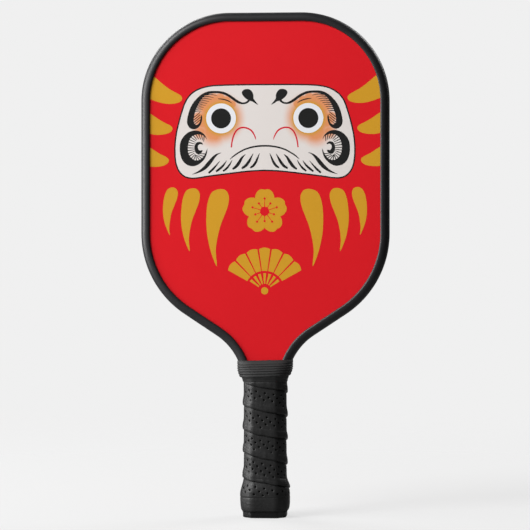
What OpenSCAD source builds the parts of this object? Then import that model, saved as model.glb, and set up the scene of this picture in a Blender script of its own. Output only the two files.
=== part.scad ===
// Pickleball paddle: a honeycomb-cored face in a moulded edge guard, with a
// wrapped octagonal handle. All lengths in millimetres.
// Frame: X across the face, Y through the thickness (printed front towards -Y),
// +Z from the butt to the tip of the head, origin at the centre of the butt.

/* [Head] */
// Overall length, from the butt to the tip of the head
overall_len = 406.4; // [396:0.1:409]
// Width of the head across the edge guard
face_w = 200; // [188:0.5:204]
// Radius of the two upper corners
corner_r = 70.8; // [55:0.1:80]
// Radius of the two lower corners
shoulder_r = 77.9; // [66:0.1:82]
// Radius of the hollow curve that runs down into the neck
throat_r = 48.5; // [44:0.1:52]
// Slope of the straight flank between shoulder and neck, from horizontal
flank_angle = 33.5; // [30:0.5:38]
// Narrowest width of the neck, where the throat curve ends
neck_w = 34.4; // [33:0.1:36]
// Height of the narrowest point of the neck above the butt
throat_z = 106; // [104:0.5:108]

/* [Panel layers] */
// Thickness of the honeycomb core
core_t = 12.6; // [11:0.1:12.6]
// Thickness of each bonding film between core and face sheet
bond_t = 0.2; // [0.1:0.05:0.2]
// Thickness of each composite face sheet
sheet_t = 0.5; // [0.4:0.05:0.5]
// Thickness of each printed film
film_t = 0.12; // [0.1:0.01:0.12]
// Honeycomb cell size across the flats
cell_af = 12; // [11:0.5:16]
// Thickness of the honeycomb walls
cell_wall = 0.8; // [0.6:0.1:1.2]
// Solid band left around the edge of the core
core_rim = 1.6; // [1:0.1:3]

/* [Edge guard] */
// How far the guard's lips reach in over the face
guard_lip = 7; // [6:0.1:7.2]
// Wall of the guard at the rim, outside its bonding tape
guard_wall = 1.9; // [1.6:0.1:2.2]
// Half of the guard's thickness at its fullest point
guard_half = 8.7; // [8.2:0.1:9]
// Thickness of the bonding tape between the guard and the panel's edge
edge_tape_t = 0.15; // [0.1:0.01:0.2]

/* [Handle] */
// Width of the bare handle
handle_w = 30.6; // [30:0.1:31]
// Depth of the bare handle
handle_d = 25.9; // [25.4:0.1:26.4]
// Size of the corner facets of the bare handle
handle_facet = 5.95; // [5:0.05:6.5]
// Height at which the wrapped handle meets the collar
grip_top = 113.3; // [112:0.1:114]
// Height of the collar's upper edge
collar_top = 126.6; // [125:0.1:128]
// Height of the butt's exposed base below the wrap
base_h = 5.1; // [4.5:0.1:5.5]
// Thickness of the wrap
wrap_t = 1.65; // [1.4:0.05:1.8]
// Thickness of the sticky underlay on the bare handle
underlay_t = 0.15; // [0.1:0.05:0.2]
// How far the butt flares out beyond the grip
flare = 2.75; // [2:0.05:3]
// Number of raised ribs around the collar
collar_ribs = 5; // [4:1:6]

/* [Hidden] */

eps = 0.02;
hw = face_w / 2;
neck = neck_w / 2;
th = 90 - flank_angle;                       // direction of the flank's normal
xc = hw - corner_r;                          // centre of an upper corner
zc = overall_len - corner_r;
flank = (hw - (shoulder_r + throat_r) * (1 - cos(th)) - neck) / sin(th);
xs = hw - shoulder_r;                        // centre of a lower corner
zs = throat_z + (shoulder_r + throat_r) * sin(th) + flank * cos(th);
xt = neck + throat_r;                        // centre of a throat curve
t2 = [xs + shoulder_r * cos(th), zs - shoulder_r * sin(th)];
t3 = t2 - flank * [sin(th), cos(th)];

y_core = core_t / 2;
y_bond = y_core + bond_t;
y_sheet = y_bond + sheet_t;
y_film = y_sheet + film_t;
panel_in = guard_wall + edge_tape_t + 0.05;  // edge of the panel, in from the rim
neck_cut = grip_top + 4.7;                   // the panel narrows below this height
tongue = 12.8;                               // half width of the panel's tongue
tongue_z = 110;                              // full tongue from here down
panel_z0 = 8;                                // lower end of the tongue

// Points along an arc, from angle a0 to a1
function arc(c, r, a0, a1, n) =
    [for (i = [0:n]) let (a = a0 + (a1 - a0) * i / n) [c[0] + r * cos(a), c[1] + r * sin(a)]];

// Right half of the outline moved in by d, from the tip down to height z1 in the throat
function half_outline(d, z1) = concat(
    [[0, overall_len - d]],
    arc([xc, zc], corner_r - d, 90, 0, 40),
    arc([xs, zs], shoulder_r - d, 0, -th, 30),
    arc([xt, throat_z], throat_r + d, 180 - th, 180 - asin((z1 - throat_z) / (throat_r + d)), 24));

function flip(p) = [for (i = [len(p) - 1:-1:0]) [-p[i][0], p[i][1]]];
function both(p) = concat(p, flip(p));

// Panel: the head's outline, with the tongue that runs down inside the handle
function panel_pts(d, z0) = both(concat(half_outline(d, neck_cut),
    [[tongue, tongue_z], [tongue, z0]]));

// Half width of the panel at height z, moved in by d
function panel_half(z, d) =
    z > zc ? (z - zc < corner_r - d ? xc + sqrt(pow(corner_r - d, 2) - pow(z - zc, 2)) : -1)
    : z > zs ? hw - d
    : z > t2[1] + d * sin(th) ? xs + sqrt(pow(shoulder_r - d, 2) - pow(zs - z, 2))
    : z > t3[1] + d * sin(th) ? t3[0] - d * cos(th) + (z - t3[1] - d * sin(th)) * tan(th)
    : z > neck_cut ? xt - sqrt(pow(throat_r + d, 2) - pow(z - throat_z, 2))
    : tongue - d + panel_in;

// A flat sheet in the plane of the face, between depths y0 and y1
module sheet(y0, y1) {
    translate([0, y1, 0]) rotate([90, 0, 0]) linear_extrude(height = y1 - y0) children();
}

// An octagonal body: rows of [height, half width, half depth, corner cut].
// The slab across the width sets its ends; the other slabs run past them, and the
// corner facets bend a little higher up, so that no two slabs bend on one corner.
module oct_body(p) {
    q = slab_rows(p, 0);
    f = slab_rows(p, 0.25);
    intersection() {
        rotate([90, 0, 0]) slab([for (r = p) [r[1], r[0]]]);
        rotate([90, 0, 90]) slab([for (r = q) [r[2], r[0]]]);
        rotate([90, 0, 45]) slab([for (r = f) [(r[1] + r[2] - r[3]) / sqrt(2), r[0]]]);
        rotate([90, 0, -45]) slab([for (r = f) [(r[1] + r[2] - r[3]) / sqrt(2), r[0]]]);
    }
}
module slab(h) {
    linear_extrude(height = 90, center = true)
        polygon(concat(h, [for (i = [len(h) - 1:-1:0]) [-h[i][0], h[i][1]]]));
}
function slab_rows(p, up) = let (n = len(p) - 1) concat(
    [lift(p[0], -1), lift(p[0], 0.1)],
    [for (i = [1:1:n - 1]) lift(p[i], up)],
    [lift(p[n], -0.1), lift(p[n], 1)]);
function lift(r, dz) = [r[0] + dz, r[1], r[2], r[3]];

// Rows of an octagonal body of the bare handle's shape, grown by g
function oct_row(z, g) = [z, handle_w / 2 + g, handle_d / 2 + g, handle_facet + g * (2 - sqrt(2))];

cap_top = 31;                                // the butt cap's cup ends here
cap_wall = 1;                                // step in the handle that the cup fits over
under = underlay_t;
wrapped = underlay_t + wrap_t;
// Outer skin of the wrap, from the base up, as [height, growth over the bare handle]
wrap_skin = [[base_h, wrapped + 0.5], [6.7, wrapped + 2], [11.5, wrapped + flare],
             [21.2, wrapped + flare], [26, wrapped + 1.2], [30.8, wrapped],
             [grip_top - 6, wrapped], [grip_top - 0.4, wrapped + 1.6]];
// Outer skin of the butt cap's cup, under the wrap
cup_skin = [[base_h, 0.5], [6.7, 2], [11.5, flare], [21.2, flare], [26, 1.2], [cap_top, 0.02]];

// ---- Panel -------------------------------------------------------------

// Expanded polymer honeycomb with a solid band around its edge
module honeycomb_core() {
    pitch = cell_af + cell_wall;
    r = cell_af / sqrt(3);
    row = pitch * sqrt(3) / 2;
    inset = panel_in + core_rim;
    rows = floor((overall_len - 130) / row);
    hexes = [for (j = [0:rows], i = [-9:9])
        let (x = (i + (j % 2) / 2) * pitch, z = overall_len - inset - r - 1 - j * row,
             w = min([for (s = [-1, 1], t = [-1, -0.5, 0.5, 1])
                 panel_half(z + t * r, inset) - (abs(t) == 1 ? 0 : cell_af / 2)]))
        if (abs(x) <= w && z - r > neck_cut + core_rim) [x, z]];
    color("ivory") sheet(-y_core, y_core) difference() {
        polygon(panel_pts(panel_in, panel_z0));
        for (h = hexes) translate(h) rotate(30) circle(r = r, $fn = 6);
        for (z = [panel_z0 + core_rim + r + 2:row * 2:neck_cut - r], s = [-1, 1])
            if (z < tongue_z) translate([s * pitch / 2 * 0.9, z]) rotate(30) circle(r = r * 0.75, $fn = 6);
    }
}

module bond_film(s) { color("wheat") sheet(s < 0 ? -y_bond : y_core, s < 0 ? -y_core : y_bond)
    polygon(panel_pts(panel_in, panel_z0)); }
module front_bond_film() { bond_film(-1); }
module back_bond_film() { bond_film(1); }

module face_sheet(s) { color("dimgray") sheet(s < 0 ? -y_sheet : y_bond, s < 0 ? -y_bond : y_sheet)
    polygon(panel_pts(panel_in, panel_z0)); }
module front_face_sheet() { face_sheet(-1); }
module back_face_sheet() { face_sheet(1); }

// Printed films stop under the collar
module graphic_film(s) { color([0.84, 0.14, 0.17]) sheet(s < 0 ? -y_film : y_sheet, s < 0 ? -y_sheet : y_film)
    polygon(both(half_outline(panel_in, grip_top + 1))); }
module front_graphic_film() { graphic_film(-1); }
module back_graphic_film() { graphic_film(1); }

// ---- Edge guard --------------------------------------------------------

guard_in = y_film + 0.03;                    // the lips rest on the printed films
// Section of the guard: [in from the rim, half thickness] along its outside
guard_skin = [[guard_lip, guard_in + 0.7], [guard_lip - 0.7, guard_half - 0.25],
              [guard_lip - 3, guard_half], [2, guard_half - 0.45],
              [0.7, guard_half - 1.8], [0.15, guard_half - 3.7], [0, guard_half - 6.2]];
guard_end = 12;                              // the guard stops this far round the throat

// The section at radius r, reaching in towards the centre (s = -1) or away from it (s = 1),
// grown all round by g
module guard_section(r, s, g) {
    n = len(guard_skin);
    out = [for (i = [0:n - 1]) let (p = guard_skin[i])
        [p[0] + (i == 0 ? g : i > 2 ? -g : 0), p[1] + (i < n - 1 ? g : 0)]];
    polygon([for (p = concat([[guard_lip + g, guard_in - g]], out,
                 [for (i = [n - 1:-1:0]) [out[i][0], -out[i][1]]],
                 [[guard_lip + g, -guard_in + g], [guard_wall + g, -guard_in + g],
                  [guard_wall + g, guard_in - g]]))
             [r + s * p[0], p[1]]]);
}

// A straight run of the guard, length n, up from a point on its rim at angle a.
// It is a hair fuller than the bends and laps into them, so that they join as one strip.
run_g = 0.01;
run_lap = 0.4;
module guard_run(p, a, n) {
    translate(p) rotate([0, 0, a]) rotate([90, 0, 0]) translate([0, 0, -n - run_lap])
        linear_extrude(height = n + 2 * run_lap) guard_section(0, -1, run_g);
}

module guard_side() {
    translate([xc, zc, 0]) rotate_extrude(angle = 90, $fn = 180) guard_section(corner_r, -1, 0);
    guard_run([hw, zs, 0], 0, zc - zs);
    translate([xs, zs, 0]) rotate([0, 0, -th])
        rotate_extrude(angle = th, $fn = 180) guard_section(shoulder_r, -1, 0);
    guard_run([t3[0], t3[1], 0], -th, flank);
    translate([xt, throat_z, 0]) rotate([0, 0, 180 - th])
        rotate_extrude(angle = th - guard_end, $fn = 180) guard_section(throat_r, 1, 0);
}

module edge_guard() {
    color([0.13, 0.13, 0.13]) rotate([90, 0, 0]) {
        guard_side();
        mirror([1, 0, 0]) guard_side();
        guard_run([xc, overall_len, 0], 90, 2 * xc);
    }
}

// Double-sided tape between the guard's channel and the panel's cut edge
module edge_guard_tape() {
    z1 = neck_cut;
    color("gainsboro") sheet(-guard_in + 0.15, guard_in - 0.15) difference() {
        polygon(both(half_outline(guard_wall, z1)));
        polygon(both(concat(half_outline(panel_in - 0.05, z1), [[20, z1 - 5]])));
    }
}

// ---- Handle ------------------------------------------------------------

// One half of the handle: a shell over the tongue, with a tenon on the face
module pallet(s) {
    difference() {
        union() {
            oct_body([oct_row(base_h + 1, -cap_wall), oct_row(cap_top + 3, -cap_wall)]);
            oct_body([oct_row(cap_top, 0), oct_row(grip_top, 0)]);
            translate([-10.2, -10.4, grip_top - 1]) cube([20.4, 20.8, 8]);
        }
        // the other half
        translate([-40, s < 0 ? 0 : -40, -1]) cube([80, 40, 140]);
        // seat for the panel
        sheet(-y_sheet - eps, y_sheet + eps) polygon(panel_pts(panel_in - 0.1, base_h));
        translate([-20, -y_film - eps, grip_top]) cube([40, 2 * (y_film + eps), 20]);
        // clearance for the guard's lips
        sheet(-guard_half - 0.3, guard_half + 0.3) polygon([[neck - guard_lip - 1.4, grip_top + 0.3],
            [30, grip_top + 0.3], [30, 140], [neck - guard_lip + 3, 140]]);
        sheet(-guard_half - 0.3, guard_half + 0.3) polygon([[-neck + guard_lip + 1.4, grip_top + 0.3],
            [-30, grip_top + 0.3], [-30, 140], [-neck + guard_lip - 3, 140]]);
        // lightening pockets between the ribs
        for (z = [40:18:94]) translate([-7, s < 0 ? -10.6 : y_sheet - 1, z])
            cube([14, 10.6 - y_sheet + 1, 14]);
        cap_staples(0.02);
        start_staple(0.02);
    }
}
module handle_pallet_front() { color("tan") pallet(-1); }
module handle_pallet_back() { color("tan") pallet(1); }

// Cup that flares out round the end of the handle, over a solid base
module butt_cap() {
    color([0.08, 0.08, 0.08]) difference() {
        union() {
            oct_body([[0, handle_w / 2 + 1.1, handle_d / 2 + 1.1, handle_facet + 1.2],
                      [0.5, handle_w / 2 + 1.6, handle_d / 2 + 1.6, handle_facet + 1.05],
                      [base_h, handle_w / 2 + 1.8, handle_d / 2 + 1.8, handle_facet + 1.05]]);
            oct_body(concat([oct_row(base_h - 2, 0.5)], [for (q = cup_skin) oct_row(q[0], q[1])]));
        }
        oct_body([oct_row(base_h + 1, -cap_wall), oct_row(cap_top + 5, -cap_wall)]);
        // shallow seat for the end badge
        translate([0, 0, -1]) linear_extrude(height = 2.2) badge(10.2, 7.2);
        // hollow core of the base
        translate([0, 0, 2.6]) cylinder(h = 10, r = 6, $fn = 64);
        cap_staples(0.02);
    }
}

// Rounded-end outline of the badge: half width a, half depth b
module badge(a, b) {
    translate([-(a - b), -b]) square([2 * (a - b), 2 * b]);
    for (s = [-1, 1]) translate([s * (a - b), 0]) circle(r = b, $fn = 96);
}
module butt_cap_insert() {
    color("silver") translate([0, 0, 0.25]) linear_extrude(height = 0.9) badge(10, 7);
}

// A wire staple pushed in along -X: crown on the surface at x = 0, legs 5 mm long;
// grown by g it cuts its own slot
module staple(g) {
    for (y = [-5, 4.2]) translate([-5 - g, y - g, -0.3 - g])
        cube([5.3 + 2 * g, 0.8 + 2 * g, 0.6 + 2 * g]);
    translate([-g, -5 - g, -0.3 - g]) cube([0.3 + 2 * g, 10 + 2 * g, 0.6 + 2 * g]);
}
module cap_staples(g) {
    x = handle_w / 2 + flare;
    translate([x, 0, 16]) staple(g);
    translate([-x, 0, 16]) rotate([0, 0, 180]) staple(g);
}
module butt_cap_staples() { color("silver") cap_staples(0); }

// ---- Grip --------------------------------------------------------------

module oct_sleeve(outer, inner) { difference() { oct_body(outer); oct_body(inner); } }

module start_staple(g) { translate([0, handle_d / 2 + under + 0.02, 36]) rotate([0, 0, 90]) staple(g); }
module grip_start_staple() { color("silver") start_staple(0); }

// Sticky felt under the wrap
module grip_underlay() {
    color("lightgray") difference() {
        oct_sleeve([oct_row(cap_top, under), oct_row(grip_top - 0.5, under)],
                   [oct_row(cap_top - 1, 0.01), oct_row(grip_top + 1, 0.01)]);
        start_staple(0.01);
    }
}

// The wrap as one closed sleeve, flared over the butt and thicker where it ends
module grip_wrap() {
    color([0.2, 0.2, 0.2]) difference() {
        oct_body([for (q = wrap_skin) oct_row(q[0], q[1])]);
        oct_body(concat([oct_row(base_h - 1, 0.51)],
            [for (q = cup_skin) if (q[0] < cap_top) oct_row(q[0], q[1] + 0.01)],
            [oct_row(cap_top, under + 0.01), oct_row(grip_top + 1, under + 0.01)]));
        // grooves over the crowns of the staples
        translate([-5.2, handle_d / 2, 35.5]) cube([10.4, 0.6, 1]);
        translate([-handle_w / 2 - flare - 0.4, -5.2, 15.5]) cube([handle_w + 2 * flare + 0.8, 10.4, 1]);
    }
}

// Vinyl tape round the end of the wrap
module grip_finishing_tape() {
    z0 = grip_top - 5.6;
    color([0.24, 0.24, 0.24]) oct_sleeve(
        [oct_row(z0, wrapped + 0.5), oct_row(z0 + 2.4, wrapped + 1.2), oct_row(grip_top, wrapped + 2.1)],
        [oct_row(z0 - 1, wrapped - 0.2), oct_row(grip_top - 6, wrapped + 0.01),
         oct_row(grip_top - 0.4, wrapped + 1.61), oct_row(grip_top + 1, wrapped + 1.9)]);
}

// Rubber collar: ribbed outside, drawn down onto the throat at its upper edge
module grip_collar() {
    n = collar_ribs;
    h = collar_top - grip_top;
    // skin of the collar at share t of its height: half width, half depth, corner cut
    function skin(t, g) = [grip_top + h * t,
        g + (t < 0.42 ? 19.9 + 2.4 * sin(t / 0.42 * 90) : 22.3),
        g + 17.3 - 6.2 * t * t, 7 - 2.6 * t];
    rows = concat([skin(0, 0)], [for (i = [0:n - 1], q = [[0.16, 0.05], [0.84, 0.05], [0.92, -0.4]])
        if (!(i == n - 1 && q[1] < 0)) skin((i + q[0]) / n, q[1])], [skin(1, -0.15)]);
    color([0.22, 0.22, 0.22]) difference() {
        oct_body(rows);
        // over the handle halves and their tenons
        oct_body([oct_row(grip_top - 1, 0.05), oct_row(grip_top + 0.05, 0.05)]);
        translate([-10.25, -10.45, grip_top - 2]) cube([20.5, 20.9, 9.05]);
        // over the panel and the guard
        sheet(-guard_half - 0.03, guard_half + 0.03)
            polygon(both(concat([[0, collar_top + 9]], half_neck(-0.05, collar_top + 9, grip_top - 2))));
    }
}
// Right side of the neck moved in by d, from height z1 down to z0
function half_neck(d, z1, z0) = arc([xt, throat_z], throat_r + d,
    180 - asin((z1 - throat_z) / (throat_r + d)), 180 - asin((z0 - throat_z) / (throat_r + d)), 16);

honeycomb_core();
front_bond_film();
back_bond_film();
front_face_sheet();
back_face_sheet();
front_graphic_film();
back_graphic_film();
edge_guard();
edge_guard_tape();
handle_pallet_front();
handle_pallet_back();
butt_cap();
butt_cap_insert();
butt_cap_staples();
grip_start_staple();
grip_underlay();
grip_wrap();
grip_finishing_tape();
grip_collar();
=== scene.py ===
import math
import random

import bmesh
import bpy
import numpy as np
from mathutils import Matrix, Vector, noise
from mathutils.geometry import tessellate_polygon


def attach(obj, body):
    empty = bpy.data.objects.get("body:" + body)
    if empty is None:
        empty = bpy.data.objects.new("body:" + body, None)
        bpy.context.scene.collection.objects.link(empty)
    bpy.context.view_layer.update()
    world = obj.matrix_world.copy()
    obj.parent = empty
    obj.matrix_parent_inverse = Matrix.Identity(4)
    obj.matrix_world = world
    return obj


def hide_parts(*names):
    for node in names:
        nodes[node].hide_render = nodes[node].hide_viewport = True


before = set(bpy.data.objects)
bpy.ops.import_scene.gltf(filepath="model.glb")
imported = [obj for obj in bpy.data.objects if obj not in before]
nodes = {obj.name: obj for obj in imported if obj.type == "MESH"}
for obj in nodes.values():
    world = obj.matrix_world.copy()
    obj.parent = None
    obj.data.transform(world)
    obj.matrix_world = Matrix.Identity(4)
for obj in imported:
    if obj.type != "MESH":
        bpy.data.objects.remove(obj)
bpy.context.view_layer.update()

MM = 0.001
random.seed(7)

# ------------------------------------------------------------------ basics


def srgb(r, g, b):
    """Linear colour from 0-255 display values."""
    def one(v):
        v /= 255.0
        return v / 12.92 if v <= 0.04045 else ((v + 0.055) / 1.055) ** 2.4
    return (one(r), one(g), one(b), 1.0)


def lin(c, k=1.0):
    return (c[0] * k, c[1] * k, c[2] * k, 1.0)


def add_mesh(name, verts, faces, material, sharp=35, smooth=True):
    me = bpy.data.meshes.new(name)
    me.from_pydata([tuple(v) for v in verts], [], [tuple(f) for f in faces])
    me.validate()
    me.update()
    ob = bpy.data.objects.new(name, me)
    bpy.context.scene.collection.objects.link(ob)
    me.materials.append(material)
    if smooth:
        me.shade_smooth()
        me.set_sharp_from_angle(angle=math.radians(sharp))
    return ob


def piece(ob, slot, *replaced):
    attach(ob, "root")
    if replaced:
        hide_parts(*replaced)
    return ob


# --------------------------------------------------------------- materials


class Nodes:
    """A short way to write a node tree."""

    def __init__(self, name):
        self.mat = bpy.data.materials.new(name)
        self.mat.use_nodes = True
        self.t = self.mat.node_tree
        self.t.nodes.clear()
        self.out = self.t.nodes.new("ShaderNodeOutputMaterial")
        self.bsdf = self.t.nodes.new("ShaderNodeBsdfPrincipled")
        self.t.links.new(self.bsdf.outputs[0], self.out.inputs[0])
        self.co = self.t.nodes.new("ShaderNodeTexCoord").outputs["Object"]

    def link(self, a, b):
        self.t.links.new(a, b)

    def node(self, kind, **props):
        n = self.t.nodes.new(kind)
        for k, v in props.items():
            setattr(n, k, v)
        return n

    def scaled(self, v):
        n = self.node("ShaderNodeVectorMath", operation="MULTIPLY")
        self.link(self.co, n.inputs[0])
        n.inputs[1].default_value = v
        return n.outputs[0]

    def noise(self, scale, detail=3, rough=0.55, co=None):
        n = self.node("ShaderNodeTexNoise")
        self.link(co or self.co, n.inputs["Vector"])
        n.inputs["Scale"].default_value = scale
        n.inputs["Detail"].default_value = detail
        n.inputs["Roughness"].default_value = rough
        return n.outputs["Fac"]

    def voronoi(self, scale, feature="F1", co=None, rand=1.0):
        n = self.node("ShaderNodeTexVoronoi", feature=feature)
        self.link(co or self.co, n.inputs["Vector"])
        n.inputs["Scale"].default_value = scale
        n.inputs["Randomness"].default_value = rand
        return n.outputs["Distance"]

    def remap(self, v, a, b, lo, hi, smooth=False):
        n = self.node("ShaderNodeMapRange")
        n.interpolation_type = "SMOOTHSTEP" if smooth else "LINEAR"
        self.link(v, n.inputs["Value"])
        n.inputs["From Min"].default_value = a
        n.inputs["From Max"].default_value = b
        n.inputs["To Min"].default_value = lo
        n.inputs["To Max"].default_value = hi
        return n.outputs[0]

    def math(self, op, a, b=None, clamp=False):
        n = self.node("ShaderNodeMath", operation=op)
        n.use_clamp = clamp
        for k, v in enumerate((a, b)):
            if v is None:
                continue
            if isinstance(v, (int, float)):
                n.inputs[k].default_value = v
            else:
                self.link(v, n.inputs[k])
        return n.outputs[0]

    def mix(self, fac, a, b):
        n = self.node("ShaderNodeMix", data_type="RGBA")
        for sock, v in ((n.inputs[0], fac), (n.inputs[6], a), (n.inputs[7], b)):
            if isinstance(v, (int, float, tuple)):
                sock.default_value = v
            else:
                self.link(v, sock)
        return n.outputs[2]

    def colour(self, v):
        self.link(v, self.bsdf.inputs["Base Color"])

    def rough(self, v):
        if isinstance(v, (int, float)):
            self.bsdf.inputs["Roughness"].default_value = v
        else:
            self.link(v, self.bsdf.inputs["Roughness"])

    def bump(self, height, distance, strength=1.0, below=None):
        n = self.node("ShaderNodeBump")
        n.inputs["Strength"].default_value = strength
        n.inputs["Distance"].default_value = distance
        self.link(height, n.inputs["Height"])
        if below is not None:
            self.link(below, n.inputs["Normal"])
        return n.outputs[0]

    def normal(self, v):
        self.link(v, self.bsdf.inputs["Normal"])

    def spec(self, level=0.5, ior=1.45, coat=0.0, coat_rough=0.2, sheen=0.0, metallic=0.0):
        b = self.bsdf.inputs
        b["Specular IOR Level"].default_value = level
        b["IOR"].default_value = ior
        b["Coat Weight"].default_value = coat
        b["Coat Roughness"].default_value = coat_rough
        b["Sheen Weight"].default_value = sheen
        b["Metallic"].default_value = metallic


def print_ink(name, base, vary=0.03, rough=0.5, level=0.14, grit=1.0):
    """Printed film: a nearly even colour under a satin coat with a fine grit."""
    m = Nodes(name)
    broad = m.noise(9.0, 2)
    fine = m.noise(520.0, 4, 0.6)
    tone = m.math("ADD", m.remap(broad, 0.3, 0.7, 0.0, 0.7), m.remap(fine, 0.35, 0.65, 0.0, 0.3), clamp=True)
    m.colour(m.mix(tone, lin(base, 1 - vary), lin(base, 1 + vary)))
    m.rough(m.remap(fine, 0.3, 0.7, rough - 0.06, rough + 0.08))
    grain = m.voronoi(1500.0)
    weave = m.noise(2600.0, 2)
    b1 = m.bump(grain, 0.00003 * grit, 0.5)
    m.normal(m.bump(weave, 0.00002 * grit, 0.4, b1))
    m.spec(level, 1.45)
    return m.mat


RED = srgb(217, 26, 35)
GOLD = srgb(208, 153, 41)
INK = srgb(30, 30, 30)
WHITE = srgb(226, 219, 215)

m_red = print_ink("print_red", RED)
m_gold = print_ink("print_gold", GOLD)
m_ink = print_ink("print_ink", INK, vary=0.10, level=0.2)
m_eye = print_ink("print_eye_white", srgb(232, 232, 236), vary=0.01)
m_nose = print_ink("print_nose_red", srgb(208, 22, 48))


def panel_material():
    """Face panel: warm white with an airbrushed orange blush round the eyes."""
    m = Nodes("print_panel")
    sep = m.node("ShaderNodeSeparateXYZ")
    m.link(m.co, sep.inputs[0])
    ax = m.math("ABSOLUTE", sep.outputs[0])
    fade = None
    # centres and radii of the sprayed patches, in metres on the face
    for cx, cz, r0, r1 in BLUSH:
        dx = m.math("SUBTRACT", ax, cx)
        dz = m.math("SUBTRACT", sep.outputs[2], cz)
        d = m.math("SQRT", m.math("ADD", m.math("MULTIPLY", dx, dx), m.math("MULTIPLY", dz, dz)))
        f = m.remap(d, r0, r1, 1.0, 0.0, smooth=True)
        fade = f if fade is None else m.math("MAXIMUM", fade, f)
    speck = m.noise(900.0, 3, 0.7)
    fade = m.math("ADD", fade, m.math("MULTIPLY", m.remap(speck, 0.3, 0.7, -0.05, 0.05), fade), clamp=True)
    warm = m.noise(11.0, 2)
    base = m.mix(m.remap(warm, 0.3, 0.7, 0.0, 1.0), lin(WHITE, 0.985), lin(WHITE, 1.01))
    # golden close to the eye, orange round it, and paler and pinker further out
    dx = m.math("SUBTRACT", ax, EYE[0])
    dz = m.math("SUBTRACT", sep.outputs[2], EYE[1])
    r = m.math("SQRT", m.math("ADD", m.math("MULTIPLY", dx, dx), m.math("MULTIPLY", dz, dz)))
    warm_in = m.mix(m.remap(r, 0.0122, 0.0160, 0.0, 1.0, smooth=True), srgb(214, 150, 70), srgb(224, 146, 96))
    tint = m.mix(m.remap(r, 0.0160, 0.0225, 0.0, 1.0, smooth=True), warm_in, srgb(228, 160, 126))
    m.colour(m.mix(fade, base, tint))
    fine = m.noise(520.0, 4, 0.6)
    m.rough(m.remap(fine, 0.3, 0.7, 0.44, 0.58))
    b1 = m.bump(m.voronoi(1500.0), 0.00003, 0.5)
    m.normal(m.bump(m.noise(2600.0, 2), 0.00002, 0.4, b1))
    m.spec(0.14, 1.45)
    return m.mat


def moulded(name, base, rough=0.45, vary=0.25, pit=0.00003, scale=900.0, scuff=0.35, level=0.5, streak=None):
    """Moulded black plastic or rubber: fine spark-eroded texture, slight handling wear."""
    m = Nodes(name)
    broad = m.noise(35.0, 3)
    fine = m.noise(scale, 4, 0.65)
    tone = m.math("ADD", m.remap(broad, 0.3, 0.7, 0.0, 0.6), m.remap(fine, 0.35, 0.65, 0.0, 0.4), clamp=True)
    m.colour(m.mix(tone, lin(base, 1 - vary), lin(base, 1 + vary)))
    marks = m.noise(160.0, 5, 0.7, m.scaled(streak) if streak else None)
    m.rough(m.math("ADD", m.remap(fine, 0.3, 0.7, rough - 0.05, rough + 0.07),
                   m.remap(marks, 0.55, 0.75, 0.0, 0.12 * scuff)))
    b1 = m.bump(m.voronoi(scale * 1.6), pit, 0.55)
    m.normal(m.bump(fine, pit, 0.6, b1))
    m.spec(level, 1.47)
    return m.mat


m_guard = moulded("guard_tpu", srgb(31, 31, 33), rough=0.44, scale=1100.0, pit=0.00003, level=0.45)
m_collar = moulded("collar_rubber", srgb(43, 43, 43), rough=0.60, scale=700.0, pit=0.00006, level=0.35)
m_tape = moulded("finishing_tape_vinyl", srgb(34, 34, 34), rough=0.50, scale=500.0, pit=0.00005, level=0.35)
m_cap = moulded("butt_plastic", srgb(6, 6, 7), rough=0.30, scale=1300.0, pit=0.00002, level=0.5)


def wrap_material():
    """Perforated cushion wrap: matte, tacky, with a fine leather-like grain, and painted shade darkening the insides of
    its punched holes.
    """
    m = Nodes("wrap_pu")
    base = srgb(36, 36, 36)
    cell = m.voronoi(1150.0, "SMOOTH_F1")
    fine = m.noise(1900.0, 4, 0.6)
    broad = m.noise(70.0, 4, 0.6)
    worn = m.remap(broad, 0.35, 0.7, 0.0, 1.0)
    pit = m.node("ShaderNodeAttribute", attribute_type="GEOMETRY", attribute_name="pit").outputs["Fac"]
    depth = m.remap(pit, 0.05, 0.6, 0.0, 1.0, smooth=True)
    # broad random lighter and darker patches are the rubber's own tone; inside the punched holes the colour goes to
    # near black, which is painted shade where the holes lie in shadow (they are also made rougher and less shiny)
    m.colour(m.mix(depth, m.mix(worn, lin(base, 0.78), lin(base, 1.20)), (0.0015, 0.0015, 0.0015, 1.0)))
    m.rough(m.math("ADD", m.remap(broad, 0.3, 0.7, 0.49, 0.41), m.math("MULTIPLY", depth, 0.45), clamp=True))
    b1 = m.bump(cell, 0.00010, 0.6)
    b2 = m.bump(fine, 0.00005, 0.5, b1)
    crease = m.noise(240.0, 5, 0.62, m.scaled((1.0, 1.0, 2.2)))
    m.normal(m.bump(crease, 0.00022, 0.6, b2))
    m.spec(0.5, 1.5)
    m.link(m.remap(depth, 0.0, 1.0, 0.26, 0.03), m.bsdf.inputs["Specular IOR Level"])
    return m.mat


m_wrap = wrap_material()


def brushed(name, base):
    m = Nodes(name)
    streak = m.noise(700.0, 4, 0.6, m.scaled((0.08, 1.0, 1.0)))
    m.colour(m.mix(m.remap(streak, 0.3, 0.7, 0.0, 1.0), lin(base, 0.8), lin(base, 1.15)))
    m.rough(m.remap(streak, 0.3, 0.7, 0.28, 0.42))
    m.normal(m.bump(streak, 0.00002, 0.5))
    m.spec(0.5, 1.5, metallic=1.0)
    return m.mat


m_badge = brushed("badge_alloy", srgb(176, 176, 180))
m_wire = brushed("staple_wire", srgb(190, 190, 192))


def plain_inner(name, base, rough, scale, bump):
    """Inner pieces that the outside hides: still with their own grain."""
    m = Nodes(name)
    n = m.noise(scale, 4, 0.6)
    m.colour(m.mix(m.remap(n, 0.3, 0.7, 0.0, 1.0), lin(base, 0.88), lin(base, 1.08)))
    m.rough(m.remap(n, 0.3, 0.7, rough - 0.08, rough + 0.08))
    m.normal(m.bump(n, bump, 0.6))
    m.spec(0.4, 1.45)
    return m.mat


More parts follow.
